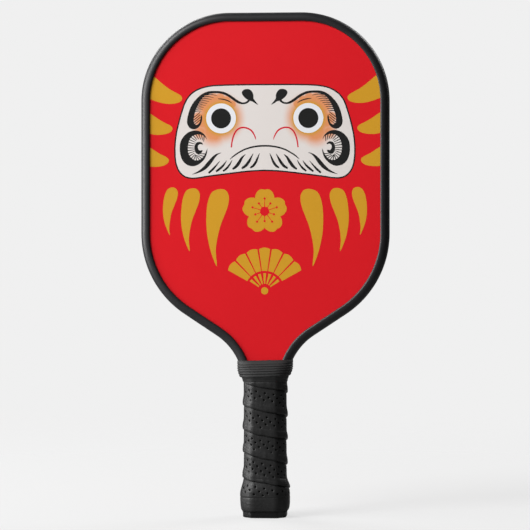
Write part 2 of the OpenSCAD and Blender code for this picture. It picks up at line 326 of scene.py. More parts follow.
m_core = plain_inner("core_polypropylene", srgb(236, 233, 222), 0.5, 260.0, 0.00008)
m_bond = plain_inner("bond_film", srgb(222, 204, 160), 0.5, 500.0, 0.00004)
m_foam = plain_inner("pallet_foam", srgb(196, 174, 136), 0.85, 900.0, 0.0002)
m_mtape = plain_inner("mounting_tape", srgb(226, 226, 222), 0.7, 700.0, 0.00008)
m_felt = plain_inner("underlay_felt", srgb(204, 204, 200), 0.9, 1500.0, 0.0002)


def composite():
    """Woven composite face sheet under the print."""
    m = Nodes("face_composite")
    w1 = m.node("ShaderNodeTexWave", wave_type="BANDS", bands_direction="DIAGONAL")
    m.link(m.co, w1.inputs["Vector"])
    w1.inputs["Scale"].default_value = 160.0
    n = m.noise(400.0, 3)
    m.colour(m.mix(w1.outputs["Fac"], srgb(44, 44, 46), srgb(68, 68, 70)))
    m.rough(m.remap(n, 0.3, 0.7, 0.35, 0.5))
    m.normal(m.bump(w1.outputs["Fac"], 0.00005, 0.6))
    m.spec(0.5, 1.5)
    return m.mat


m_composite = composite()

# ------------------------------------------------- the paddle's outline (mm)

L, HW = 406.4, 100.0
RC, RS, RT = 70.8, 77.9, 48.5
TH = math.radians(90 - 33.5)
NECK, ZT = 17.2, 106.0
XC, ZC = HW - RC, L - RC
FLANK = (HW - (RS + RT) * (1 - math.cos(TH)) - NECK) / math.sin(TH)
XS = HW - RS
ZS = ZT + (RS + RT) * math.sin(TH) + FLANK * math.cos(TH)
XT = NECK + RT
T2 = (XS + RS * math.cos(TH), ZS - RS * math.sin(TH))
T3 = (T2[0] - FLANK * math.sin(TH), T2[1] - FLANK * math.cos(TH))
Y_FILM = 7.12


def outline(step=3.0, end=12.0):
    """Stations round the rim from the right end over the tip to the left: (x, z, outward x, outward z)."""
    half = []
    n = 6
    for i in range(n + 1):
        half.append((XC * i / n, L, 0.0, 1.0))
    n = round(RC * math.pi / 2 / step)
    for i in range(1, n + 1):
        a = math.pi / 2 * (1 - i / n)
        half.append((XC + RC * math.cos(a), ZC + RC * math.sin(a), math.cos(a), math.sin(a)))
    n = round((ZC - ZS) / step / 1.5)
    for i in range(1, n + 1):
        half.append((HW, ZC + (ZS - ZC) * i / n, 1.0, 0.0))
    n = round(RS * TH / step)
    for i in range(1, n + 1):
        a = -TH * i / n
        half.append((XS + RS * math.cos(a), ZS + RS * math.sin(a), math.cos(a), math.sin(a)))
    n = round(FLANK / step / 1.3)
    for i in range(1, n + 1):
        half.append((T2[0] + (T3[0] - T2[0]) * i / n, T2[1] + (T3[1] - T2[1]) * i / n, math.cos(TH), -math.sin(TH)))
    n = round(RT * (TH - math.radians(end)) / step * 1.3)
    for i in range(1, n + 1):
        a = math.pi - TH + (TH - math.radians(end)) * i / n
        half.append((XT + RT * math.cos(a), ZT + RT * math.sin(a), -math.cos(a), -math.sin(a)))
    left = [(-x, z, -nx, nz) for x, z, nx, nz in half[:0:-1]]
    return left + half


def catmull(pts, per=4, closed=False):
    """Points on a smooth curve through pts."""
    p = [np.array(q, float) for q in pts]
    n = len(p)
    out = []
    for i in range(n if closed else n - 1):
        p0 = p[(i - 1) % n] if closed or i > 0 else 2 * p[0] - p[1]
        p1, p2 = p[i % n], p[(i + 1) % n]
        p3 = p[(i + 2) % n] if closed or i < n - 2 else 2 * p[-1] - p[-2]
        # centripetal spacing keeps the curve from looping at close points
        t0 = 0.0
        t1 = t0 + max(np.linalg.norm(p1 - p0), 1e-6) ** 0.5
        t2 = t1 + max(np.linalg.norm(p2 - p1), 1e-6) ** 0.5
        t3 = t2 + max(np.linalg.norm(p3 - p2), 1e-6) ** 0.5
        for k in range(per):
            t = t1 + (t2 - t1) * k / per
            a1 = (t1 - t) / (t1 - t0) * p0 + (t - t0) / (t1 - t0) * p1
            a2 = (t2 - t) / (t2 - t1) * p1 + (t - t1) / (t2 - t1) * p2
            a3 = (t3 - t) / (t3 - t2) * p2 + (t - t2) / (t3 - t2) * p3
            b1 = (t2 - t) / (t2 - t0) * a1 + (t - t0) / (t2 - t0) * a2
            b2 = (t3 - t) / (t3 - t1) * a2 + (t - t1) / (t3 - t1) * a3
            out.append((t2 - t) / (t2 - t1) * b1 + (t - t1) / (t2 - t1) * b2)
    if not closed:
        out.append(p[-1])
    return out


# -------------------------------------------------------------- edge guard

# Half of the section, from the middle of the rim to the lip: (in from the rim, off the mid plane)
GUARD = [(-0.40, 0.0), (-0.42, 0.35), (-0.42, 1.6), (-0.38, 3.0), (-0.18, 4.4), (0.32, 5.75), (1.08, 6.85),
         (2.1, 7.7), (3.2, 8.28), (4.4, 8.58), (5.5, 8.62), (6.3, 8.42), (6.75, 8.08), (6.97, 7.68), (7.0, 7.2)]
skin = catmull(GUARD, 2)
section = [(u, -t) for u, t in skin[:0:-1]] + [(u, t) for u, t in skin]
section += [(6.9, 7.15), (1.95, 7.15), (1.95, 0.0), (1.95, -7.15), (6.9, -7.15)]


def build_guard():
    st = outline(2.6)
    verts, faces = [], []
    k = len(section)
    for x, z, nx, nz in st:
        for u, t in section:
            verts.append(((x - nx * u) * MM, t * MM, (z - nz * u) * MM))
    for i in range(len(st) - 1):
        for j in range(k):
            a, b = i * k + j, i * k + (j + 1) % k
            faces.append((a, b, b + k, a + k))
    faces.append(tuple(range(k - 1, -1, -1)))
    faces.append(tuple((len(st) - 1) * k + j for j in range(k)))
    ob = add_mesh("edge_guard_strip", verts, faces, m_guard, sharp=40)
    bm = bmesh.new()
    bm.from_mesh(ob.data)
    bmesh.ops.recalc_face_normals(bm, faces=bm.faces)
    bm.to_mesh(ob.data)
    bm.free()
    return ob


piece(build_guard(), "guard", "edge_guard")

# ---------------------------------------------------------- printed picture

U = 0.805  # one drawing unit, in mm


def P(x, y, side=1):
    """Drawing units, from the centre line and down from the tip's level, to mm on the face."""
    return ((x - 264.8) * U * 1.0045 * side, (517.0 - y) * U)


# blush patches: centre x, centre z, full radius, zero radius (metres)
BLUSH = []
for bx, by, r0, r1 in ((219.5, 117.5, 15.0, 29.0), (208.5, 104.5, 7.0, 15.5), (213.5, 131.5, 6.0, 19.0),
                       (203.0, 120.0, 5.0, 13.5), (200.6, 131.6, 3.0, 10.0),
                       (207.6, 98.6, 4.0, 7.0), (213.8, 98.2, 4.6, 6.8), (220.0, 98.4, 4.8, 6.8), (226.4, 100.4, 3.8, 6.4),
                       (232.0, 104.0, 3.0, 6.5), (198.4, 117.0, 4.0, 7.0)):
    px_, pz_ = P(bx, by)
    BLUSH.append((abs(px_) * MM, pz_ * MM, r0 * U * MM, r1 * U * MM))
EYE = (abs(P(221.25, 117.9)[0]) * MM, P(221.25, 117.9)[1] * MM)
m_panel = panel_material()


class Plates:
    """Thin closed plates on one face of the paddle, gathered into one mesh."""

    def __init__(self, side):
        self.side, self.v, self.f = side, [], []

    def at(self, x, z, h):
        y = Y_FILM + h
        return (-x * MM, y * MM, z * MM) if self.side == "back" else (x * MM, -y * MM, z * MM)

    def solid(self, pts, tris, h0, h1):
        """A flat plate: its outline, the triangles or quads that fill it, and its two heights over the film."""
        area = sum(p[0] * q[1] - q[0] * p[1] for p, q in zip(pts, pts[1:] + pts[:1]))
        n, b = len(pts), len(self.v)
        self.v += [self.at(x, z, h1) for x, z in pts] + [self.at(x, z, h0) for x, z in pts]
        for t in tris:
            s = sum(pts[t[i]][0] * pts[t[(i + 1) % len(t)]][1] - pts[t[(i + 1) % len(t)]][0] * pts[t[i]][1] for i in range(len(t)))
            if s < 0:
                t = tuple(reversed(t))
            self.f.append(tuple(b + i for i in t))
            self.f.append(tuple(b + n + i for i in reversed(t)))
        for i in range(n):
            j = (i + 1) % n
            q = (b + i, b + n + i, b + n + j, b + j)
            self.f.append(q if area > 0 else tuple(reversed(q)))

    def fill(self, pts, h0, h1):
        pts = [tuple(p) for p in pts]
        tris = tessellate_polygon([[Vector((x, z, 0.0)) for x, z in pts]])
        self.solid(pts, [tuple(t) for t in tris], h0, h1)

    def ribbon(self, centre, width, h0, h1, per=5):
        """A brush stroke: centre points and the full width at each, in mm."""
        c = catmull([(x, z, w) for (x, z), w in zip(centre, width)], per)
        left, right = [], []
        for i, q in enumerate(c):
            d = c[min(i + 1, len(c) - 1)] - c[max(i - 1, 0)]
            n = np.array((-d[1], d[0])) / max(math.hypot(d[0], d[1]), 1e-9)
            w = max(q[2], 0.04) / 2
            left.append((q[0] + n[0] * w, q[1] + n[1] * w))
            right.append((q[0] - n[0] * w, q[1] - n[1] * w))
        m = len(c)
        pts = left + right[::-1]
        quads = [(i, i + 1, 2 * m - 2 - i, 2 * m - 1 - i) for i in range(m - 1)]
        self.solid(pts, quads, h0, h1)

    def loop(self, pts, width, h0, h1):
        """A closed line of even width, centred on pts."""
        n = len(pts)
        out, inn = [], []
        for i in range(n):
            p, q, r = np.array(pts[i - 1]), np.array(pts[i]), np.array(pts[(i + 1) % n])
            d = r - p
            m = np.array((-d[1], d[0])) / np.linalg.norm(d)
            out.append(q + m * width / 2)
            inn.append(q - m * width / 2)
        b = len(self.v)
        for ring, h in ((out, h1), (inn, h1), (inn, h0), (out, h0)):
            self.v += [self.at(x, z, h) for x, z in ring]
        flip = sum(p[0] * q[1] - q[0] * p[1] for p, q in zip(pts, pts[1:] + pts[:1])) < 0
        for i in range(n):
            j = (i + 1) % n
            for a in range(4):
                c = (a + 1) % 4
                q = (b + a * n + i, b + a * n + j, b + c * n + j, b + c * n + i)
                self.f.append(q if flip else tuple(reversed(q)))

    def disc(self, x, z, r, h0, h1, n=72):
        self.fill([(x + r * math.cos(2 * math.pi * i / n), z + r * math.sin(2 * math.pi * i / n)) for i in range(n)], h0, h1)

    def make(self, name, material, slot):
        ob = add_mesh(f"{self.side}_{name}", self.v, self.f, material, smooth=False)
        # every solid faces outwards
        bm = bmesh.new()
        bm.from_mesh(ob.data)
        bmesh.ops.recalc_face_normals(bm, faces=bm.faces)
        bm.to_mesh(ob.data)
        bm.free()
        return piece(ob, slot)


def mirrored(fn):
    """Runs fn for the left half and for its mirror image."""
    for s in (1, -1):
        fn(lambda x, y, s=s: P(x, y, s))


def smooth_path(pts, q, per=4, closed=False):
    return [tuple(p) for p in catmull([q(x, y) for x, y in pts], per, closed)]


PANEL = [(264.8, 84.3), (250, 84.3), (236, 84.4), (222, 84.7), (211, 85.4), (202.5, 87.2), (195.6, 90.2), (190, 94.6),
         (185.6, 101), (182, 111), (179.2, 121), (176.8, 131), (175.3, 142), (175, 152), (175.6, 160), (177.3, 167),
         (180.6, 172.6), (185.4, 176.3), (191, 177.7), (198, 177.4), (207, 176), (222, 174), (238, 172), (252, 170.6), (264.8, 170)]

BROW_OUT = [(201.6, 114.05), (202.3, 116.15), (202.25, 118.65), (201.5, 122.15), (200.1, 125.05), (197.9, 127.35), (195.1, 128.55), (192.1, 128.45),
            (189.6, 127.05), (188, 124.65), (187.2, 121.85), (187.4, 118.45), (188.1, 114.85), (189.1, 111.15), (190.3, 107.75), (192.1, 104.15),
            (194.5, 100.75), (197.5, 97.35), (200.7, 94.55), (203.8, 92.55), (207.1, 91.15), (210.6, 90.45), (215.2, 90.35), (219.4, 90.55),
            (223.4, 91.25), (228.1, 93.15), (232.3, 95.75), (236.5, 98.85), (240, 101.05), (242.9, 102.05), (246.1, 101.45), (248.3, 99.45)]
BROW_IN = [(250, 100.75), (247.1, 103.05), (242.9, 103.85), (239.1, 103.15), (235, 100.95), (230.9, 97.95), (226.7, 95.25), (221.6, 93.25),
           (217.2, 92.65), (213, 92.75), (209.4, 93.35), (206.5, 94.35), (204.3, 95.65), (202.4, 97.55), (200.6, 100.15), (199, 102.65),
           (197.5, 105.65), (196.3, 108.35), (195.3, 111.15), (194.6, 113.85), (194, 116.95), (193.7, 119.45), (194.1, 121.85), (195, 123.55),
           (196.7, 124.35), (198.4, 123.55), (199.7, 121.75), (200.5, 119.35), (200.9, 116.35)]
BLOB = [(258.6, 104.65), (255.4, 103.05), (252.2, 101.05), (249.4, 100.25), (246.4, 98.45), (243.6, 95.75), (242, 92.35), (243.2, 89.85),
        (246.3, 88.65), (249.8, 89.05), (252.3, 91.45), (253.6, 94.95), (253.7, 98.05), (255.4, 100.65)]
C_OUT = [(207.1, 139.45), (206.4, 136.95), (205.1, 134.75), (203.1, 132.65), (200.4, 130.95), (197.3, 130.05), (194, 129.95), (190.7, 130.75),
         (187.7, 132.25), (185, 134.45), (182.7, 137.25), (181.1, 140.15), (180.2, 143.35), (179.9, 146.75), (180, 150.95), (180.6, 154.65),
         (181.8, 158.25), (183.5, 161.15), (185.8, 163.35), (188.6, 164.95), (191.8, 165.65), (195.1, 165.45), (198.2, 164.25), (201, 162.35),
         (203.3, 160.15), (205.2, 157.55), (206.5, 154.75), (207.2, 151.95), (207.5, 149.75), (207.7, 147.85)]
C_IN = [(206.3, 150.85), (205.4, 153.15), (204.1, 155.35), (202.4, 157.45), (200.1, 159.05), (197.3, 159.85), (194.6, 159.55), (192.4, 158.25),
        (190.5, 156.35), (189.1, 153.95), (188.2, 151.35), (187.9, 148.75), (188, 145.75), (188.6, 142.45), (189.6, 139.35), (191, 136.95),
        (192.9, 135.35), (195.2, 134.25), (198, 133.75), (200.7, 134.05), (203, 134.85), (204.8, 135.95), (206.1, 137.65)]
CRES_OUT = [(203.2, 144.05), (202.5, 142.55), (201.1, 141.55), (199.3, 141.25), (197.3, 141.75), (195.8, 143.05), (194.9, 145.05), (194.6, 147.15),
            (194.8, 149.55), (195.5, 151.65), (196.9, 153.25), (198.7, 153.75), (200.5, 153.25), (202, 151.75), (202.9, 149.85)]
CRES_IN = [(201.4, 149.75), (200.1, 150.05), (198.9, 149.25), (198.2, 147.85), (198, 146.25), (198.4, 144.75), (199.6, 143.85), (201, 143.55),
           (202.2, 144.05)]

WEDGES = [
    [(150.2, 74.2), (154.6, 76.2), (159.6, 80.4), (165.0, 84.9), (171.0, 89.1), (177.0, 92.4), (181.3, 95.3), (182.3, 98.0),
     (180.8, 100.6), (177.0, 102.3), (171.0, 103.1), (164.0, 102.6), (157.2, 100.8), (151.0, 98.6), (146.0, 96.6)],
    [(146.6, 110.0), (150.4, 112.9), (154.0, 115.2), (159.0, 118.7), (165.0, 122.1), (170.3, 124.8), (172.5, 127.3),
     (171.7, 130.3), (168.6, 132.4), (163.2, 133.8), (156.0, 134.1), (150.6, 133.2), (146.6, 131.8)],
    [(146.6, 144.4), (150.2, 146.9), (154.8, 149.9), (160.2, 153.4), (165.5, 156.0), (168.8, 158.7), (168.5, 161.5),
     (165.4, 164.3), (160.2, 165.8), (154.2, 166.2), (150.0, 165.8), (146.4, 165.0)],
]
CLAWS = [
    [(171.5, 186.7), (175.6, 187.9), (177.5, 191.6), (176.9, 197.6), (174.2, 204.6), (171.2, 212.6), (169.6, 221.0),
     (169.0, 228.2), (169.5, 234.8), (166.6, 228.6), (164.0, 221.0), (162.7, 212.0), (163.0, 203.0), (164.4, 194.8),
     (167.2, 189.0)],
    [(192.2, 187.4), (197.2, 188.5), (199.8, 193.0), (199.3, 200.0), (196.2, 209.0), (192.4, 218.6), (189.9, 229.6),
     (188.9, 239.6), (189.7, 250.6), (185.6, 242.0), (182.5, 231.0), (181.0, 219.0), (181.6, 206.4), (183.2, 196.6),
     (186.6, 189.6)],
    [(220.4, 187.4), (226.0, 188.8), (228.9, 194.0), (228.4, 203.0), (224.8, 213.4), (220.6, 224.4), (217.6, 236.6),
     (215.9, 249.6), (217.0, 264.9), (212.6, 255.0), (209.0, 242.0), (206.8, 228.0), (206.6, 212.0), (208.2, 199.6),
     (212.4, 190.4)],
]
WHISKERS = [
    ([(221.4, 152.2), (217.3, 153.9), (214.1, 156.6), (210.9, 160.6), (207.7, 164.5), (204.5, 167.7), (200.7, 170.4),
      (196.9, 172.2), (192.2, 173.9)], [0.2, 1.3, 2.4, 3.2, 3.4, 3.0, 2.1, 1.2, 0.2]),
    ([(220.1, 160.6), (216.4, 165.0), (212.6, 169.2), (208.8, 172.6)], [0.3, 1.3, 1.9, 1.7]),
    ([(226.8, 160.2), (224.3, 164.0), (220.6, 167.8), (216.2, 171.2)], [0.3, 1.5, 2.0, 1.6]),
    ([(232.4, 159.6), (230.0, 163.9), (227.0, 167.8), (223.3, 170.7)], [0.3, 1.3, 1.8, 1.5]),
    ([(245.6, 154.1), (242.4, 157.1), (239.7, 161.5), (236.5, 165.9), (232.8, 168.9)], [0.4, 1.8, 2.6, 2.6, 1.5]),
    ([(253.4, 153.2), (251.1, 157.6), (248.5, 162.0), (245.7, 165.5), (241.8, 168.1)], [0.3, 1.6, 2.4, 2.4, 1.5]),
    ([(259.8, 152.8), (257.9, 157.4), (255.9, 161.9), (253.6, 165.2), (250.3, 167.6)], [0.3, 1.4, 2.1, 2.1, 1.3]),
]
NOSE = [(231.5, 147.0), (232.2, 141.4), (233.7, 135.6), (236.2, 130.7), (239.8, 127.8), (243.8, 127.1), (247.8, 128.0),
        (251.4, 130.2), (254.0, 133.8), (255.4, 136.9), (256.0, 139.4)]
MOUTH = [(230.2, 158.9), (233.5, 155.9), (238.0, 152.8), (244.1, 149.4), (250.6, 147.2), (257.6, 145.9), (264.8, 145.5)]


def spread(pts, n):
    """n + 1 points evenly spaced along a path."""
    p = np.array(pts)
    d = np.concatenate([[0], np.cumsum(np.linalg.norm(np.diff(p, axis=0), axis=1))])
    t = np.linspace(0, d[-1], n + 1)
    return [(np.interp(v, d, p[:, 0]), np.interp(v, d, p[:, 1])) for v in t]


def print_side(side):
    # --- white panel, its outline, and the eyes
    white, ink, gold, eye, nose, rim = (Plates(side) for _ in range(6))
    left = smooth_path(PANEL, P, 4)
    right = [(-x, z) for x, z in left[-2:0:-1]]
    ring = left + right
    white.fill(ring, 0.0, 0.030)
    ink.loop(ring, 1.4 * U, 0.0, 0.046)

    def eyes(q):
        x, z = q(221.25, 117.9)
        rim.disc(x, z, 15.8 * U, 0.028, 0.050)
        eye.disc(x, z, 15.0 * U, 0.028, 0.062)
        ink.disc(x, z, 10.0 * U, 0.028, 0.076)

    mirrored(eyes)

    # --- brows, cheeks and blobs
    def brow(q):
        ink.fill(smooth_path(BROW_OUT, q, 3) + smooth_path(BROW_IN, q, 3), 0.028, 0.060)
        ink.fill(smooth_path(BLOB, q, 3), 0.028, 0.064)
        ink.fill(smooth_path(C_OUT, q, 3) + smooth_path(C_IN, q, 3), 0.028, 0.060)
        ink.fill(smooth_path(CRES_OUT, q, 3) + smooth_path(CRES_IN, q, 3), 0.028, 0.060)
        # short line over the eye
        ink.ribbon([q(218.2, 98.2), q(222.0, 98.6), q(226.4, 99.6), (q(230.0, 101.2)), q(232.4, 103.0)],
                   [0.5 * U, 1.1 * U, 1.1 * U, 0.9 * U, 0.2 * U], 0.028, 0.056)

    mirrored(brow)

    # --- fine brush hairs inside the brow: they start in the ink and taper out
    def hairs(q):
        rnd = random.Random(11)
        edge = np.array(catmull(BROW_IN[8:20], 6))
        for i in range(9):
            y = 94.4 + 2.05 * i
            x = float(np.interp(y, edge[:, 1], edge[:, 0]))
            f = i / 9
            length = 11.0 - 5.6 * f + rnd.uniform(-0.4, 0.4)
            ink.ribbon([q(x - 1.0, y + 0.1), q(x + 0.45 * length, y - 0.45), q(x + length, y + 0.7 - 0.9 * f)],
                       [1.00 * U, 0.80 * U, 0.30 * U], 0.028, 0.052 + 0.0005 * i, 3)
        # slanting hairs down the hook at the brow's lower end
        for i in range(4):
            y = 116.2 + i * 2.5
            end = (200.3 + 0.1 * i, y - 4.6)
            ink.ribbon([q(193.4 + 0.1 * i, y + 0.9), q(196.8, y - 1.5), q(*end)],
                       [0.84 * U, 0.74 * U, 0.60 * U], 0.028, 0.0515 + 0.0005 * i, 3)

    mirrored(hairs)

    # --- hairs that stand round inside the cheek's curl, square to its edge on the outer side
    def fan(q):
        inner = spread(smooth_path(C_IN, lambda x, y: (x, y), 4), 21)
        for i in range(1, 21):
            (x0, y0), (x, y), (x1, y1) = inner[i - 1:i + 2]
            tx, ty = x1 - x0, y1 - y0
            k = math.hypot(tx, ty)
            nx, ny = -ty / k, tx / k
            f = i / 21
            # the hairs lean over towards the curl's open side
            lean = 0.75 * max(0.0, (f - 0.66) / 0.34) + 0.50 * max(0.0, (0.34 - f) / 0.34)
            dx, dy = nx + lean * tx / k, ny + lean * ty / k
            m = math.hypot(dx, dy)
            dx, dy = dx / m, dy / m
            length = 6.6 if 0.4 < f < 0.72 else 5.6
            ink.ribbon([q(x - dx * 0.8, y - dy * 0.8), q(x + dx * length * 0.55, y + dy * length * 0.55), q(x + dx * length, y + dy * length)],
                       [0.92 * U, 0.78 * U, 0.50 * U], 0.028, 0.0515 + 0.0003 * i, 3)

    mirrored(fan)

    # --- whiskers, mouth and nose
    def strokes(q):
        for pts, w in WHISKERS:
            ink.ribbon([q(*p) for p in pts], [v * 1.12 * U for v in w], 0.028, 0.056, 6)
        nose.ribbon([q(*p) for p in NOSE], [v * U for v in (1.3, 1.4, 1.45, 1.5, 1.55, 1.6, 1.6, 1.55, 1.3, 1.0, 0.4)], 0.028, 0.054, 5)

    mirrored(strokes)
    half = [P(x, y) for x, y in MOUTH]
    mouth = half + [(-x, z) for x, z in half[-2::-1]]
    widths = [0.5, 1.2, 1.4, 1.5, 1.6, 1.7, 1.7]
    ink.ribbon(mouth, [w * U for w in widths + widths[-2::-1]], 0.028, 0.057, 6)

    # --- gold marks at the sides and on the belly
    def marks(q):
        for w in WEDGES:
            gold.fill(smooth_path(w, q, 3, closed=True), 0.0, 0.030)
        for c, (dx, dy) in zip(CLAWS, ((0.35, 0.1), (0.1, 0.4), (0.0, 1.2))):
            gold.fill(smooth_path([(x + dx, y + dy) for x, y in c], q, 3, closed=True), 0.0, 0.030)

    mirrored(marks)

    # --- plain ornament on the belly: a five-petalled blossom over an open fan
    cx, cz = P(264.8, 211.0)
    for k in range(5):
        a = math.pi / 2 + 2 * math.pi * k / 5
        petal = []
        for i in range(40):
            b = 2 * math.pi * i / 40
            # a rounded petal with a slight notch at its outer edge
            r = 9.6 + 0.9 * math.cos(b) - 1.5 * math.exp(-(min(b, 2 * math.pi - b) / 0.28) ** 2)
            x, z = r * math.cos(b) + 12.6, r * math.sin(b)
            petal.append((cx + (x * math.cos(a) - z * math.sin(a)) * U, cz + (x * math.sin(a) + z * math.cos(a)) * U))
        gold.fill(petal, 0.0, 0.030 + 0.0008 * k)
    heart = Plates(side)
    heart.disc(cx, cz, 4.6 * U, 0.0, 0.042)
    for k in range(10):
        a = math.pi / 2 + 2 * math.pi * k / 10
        r = 12.0 if k % 2 == 0 else 9.0
        heart.ribbon([(cx + 4.0 * U * math.cos(a), cz + 4.0 * U * math.sin(a)), (cx + r * U * math.cos(a), cz + r * U * math.sin(a))],
                     [0.8 * U, 0.5 * U], 0.0, 0.040, 2)
        heart.disc(cx + (r + 0.8) * U * math.cos(a), cz + (r + 0.8) * U * math.sin(a), 1.15 * U, 0.0, 0.041, 20)
    # fan: seven blades that spread from a pivot, with a band between grip and leaf
    fx, fz = P(264.8, 290.5)
    blades = 7
    for k in range(blades):
        a0 = math.radians(90 + 62 * (2 * k / blades - 1) + 1.2)
        a1 = math.radians(90 + 62 * (2 * (k + 1) / blades - 1) - 1.2)
        for r0, r1, d in ((20.0, 42.0, 0.0), (7.0, 17.6, 0.05)):
            pts = [(fx + r0 * U * math.cos(a0 + d), fz + r0 * U * math.sin(a0 + d))]
            n = 8
            for i in range(n + 1):
                a = a0 + d + (a1 - a0 - 2 * d) * i / n
                r = r1 + (1.3 * math.sin(math.pi * i / n) if r1 > 40 else 0)
                pts.append((fx + r * U * math.cos(a), fz + r * U * math.sin(a)))
            for i in range(n, -1, -1):
                a = a0 + d + (a1 - a0 - 2 * d) * i / n
                if i > 0:
                    pts.append((fx + r0 * U * math.cos(a), fz + r0 * U * math.sin(a)))
            gold.fill(pts, 0.0, 0.030)
    gold.disc(fx, fz, 3.6 * U, 0.0, 0.032, 36)

    white.make("print_panel", m_panel, "print_white")
    gold.make("print_gold", m_gold, "print_gold")
    heart.make("print_blossom_heart", m_red, "print_red")
    rim.make("print_eye_rims", m_gold, "print_gold")
    eye.make("print_eye_whites", m_eye, "print_white")
    ink.make("print_ink", m_ink, "print_black")
    nose.make("print_nose_lines", m_nose, "print_red")


for side in ("front", "back"):
    print_side(side)

# ----------------------------------------------------------------- handle

HX, HY, FACET = 15.3, 12.95, 5.95  # bare handle: half width, half depth, corner cut


def octagon(inset, seg=7, arc=6, hx=HX, hy=HY, facet=FACET, crown=None):
    """Ring of (core x, core y, normal x, normal y) for an octagon with round corners:
    a point at growth g over the bare handle is core + normal * (inset + g)."""
    a, b, c = hx - inset, hy - inset, facet - inset * (2 - math.sqrt(2))
    corners = [(a, -(b - c)), (a, b - c), (a - c, b), (-(a - c), b), (-a, b - c), (-a, -(b - c)), (-(a - c), -b), (a - c, -b)]
    ang = [0, 45, 90, 135, 180, 225, 270, 315]
    out = []
    for k in range(8):
        p, q = np.array(corners[k]), np.array(corners[(k + 1) % 8])
        n0, n1 = math.radians(ang[k]), math.radians(ang[k] + 45)
        length = np.linalg.norm(q - p)
        m = max(2, round(length / 14.0 * seg * 2))
        for i in range(m):
            s = p + (q - p) * (i / m)
            out.append((s[0], s[1], math.cos(n0), math.sin(n0)))
            if crown is not None:  # how far the cushion stands up in the middle of a flat
                crown.append(length / 17.6 * (1 - (2 * i / m - 1) ** 2))
        for i in range(arc):
            t = n0 + (n1 - n0) * i / arc
            out.append((q[0], q[1], math.cos(t), math.sin(t)))
            if crown is not None:
                crown.append(0.0)
    return out


def ring_solid(name, rows, material, sharp=40, closed_ends=False):
    """A closed mesh from rows of points: each row a ring, the last row joined back to the first."""
    k = len(rows[0])
    verts = [p for r in rows for p in r]
    faces = []
    m = len(rows)
    last = m if not closed_ends else m - 1
    for i in range(last):
        i2 = (i + 1) % m
        for j in range(k):
            j2 = (j + 1) % k
            faces.append((i * k + j, i * k + j2, i2 * k + j2, i2 * k + j))
    if closed_ends:
        faces.append(tuple(range(k - 1, -1, -1)))
        faces.append(tuple((m - 1) * k + j for j in range(k)))
    return add_mesh(name, verts, faces, material, sharp=sharp)


# --- wrap: rows follow the helix of the wound strip, then the ends are cut flat

PITCH = 19.1
WRAP_Z0, WRAP_Z1 = 5.15, 112.6
INSET = 4.4


def growth(z):
    """Growth of the wrapped surface over the bare handle at height z, without the seams."""
    pts = [(-20, 2.6), (5.1, 2.75), (5.5, 3.3), (6.3, 3.75), (8.4, 4.15), (11.5, 4.45), (16.5, 4.5), (21.2, 4.3), (24.5, 3.5),
           (28.0, 2.45), (31.5, 1.85), (34.5, 1.72), (45, 1.68), (90, 1.68), (103, 1.75), (108, 1.9), (112.4, 2.3), (140, 2.3)]
    return float(np.interp(z, [p[0] for p in pts], [p[1] for p in pts]))


def clamp(v):
    return max(0.0, min(1.0, v))


